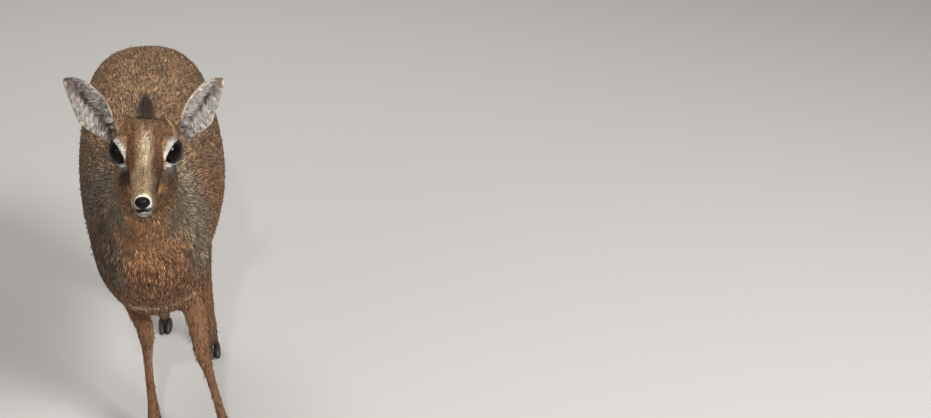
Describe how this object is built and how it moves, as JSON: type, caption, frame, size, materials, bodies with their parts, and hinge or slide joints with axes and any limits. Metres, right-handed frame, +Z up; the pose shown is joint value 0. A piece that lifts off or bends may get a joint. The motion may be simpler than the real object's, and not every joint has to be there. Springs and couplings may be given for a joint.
{
  "type": "standing dik-dik model",
  "caption": "Life-size standing dik-dik, a small slender antelope with large ears, dark eyes, a short crest and a grizzled brown coat, for display.",
  "frame": {"origin": "on the floor under the middle of the outer box", "axes": "+Z up, the animal faces -Y, its own left side is +X"},
  "size_m": [0.1755, 0.5433, 0.499],
  "materials": {
    "coat_back": "short dense coat, grizzled grey-brown",
    "coat_neck": "short dense coat, sandy brown",
    "coat_leg": "short smooth coat, tawny",
    "face": "very short coat, rufous with pale rings and a pale stripe",
    "ear": "thin skin with sparse pale hair inside, short brown hair behind",
    "crest": "longer dark hair",
    "eye": "wet black-brown",
    "nose": "bare black skin, slightly moist",
    "hoof": "dark horn, satin"
  },
  "bodies": {
    "root": {"torso": "coat_back", "neck": "coat_neck", "tail": "coat_back", "head": "face", "nose": "nose", "crest": "crest", "eye_left": "eye", "eye_right": "eye", "ear_left": "ear", "ear_right": "ear", "foreleg_left_upper": "coat_leg", "foreleg_left_lower": "coat_leg", "foreleg_left_foot": "coat_leg", "foreleg_left_claw_left": "hoof", "foreleg_left_claw_right": "hoof", "foreleg_right_upper": "coat_leg", "foreleg_right_lower": "coat_leg", "foreleg_right_foot": "coat_leg", "foreleg_right_claw_left": "hoof", "foreleg_right_claw_right": "hoof", "hindleg_left_upper": "coat_leg", "hindleg_left_lower": "coat_leg", "hindleg_left_foot": "coat_leg", "hindleg_left_claw_left": "hoof", "hindleg_left_claw_right": "hoof", "hindleg_right_upper": "coat_leg", "hindleg_right_lower": "coat_leg", "hindleg_right_foot": "coat_leg", "hindleg_right_claw_left": "hoof", "hindleg_right_claw_right": "hoof"}
  },
  "joints": []
}
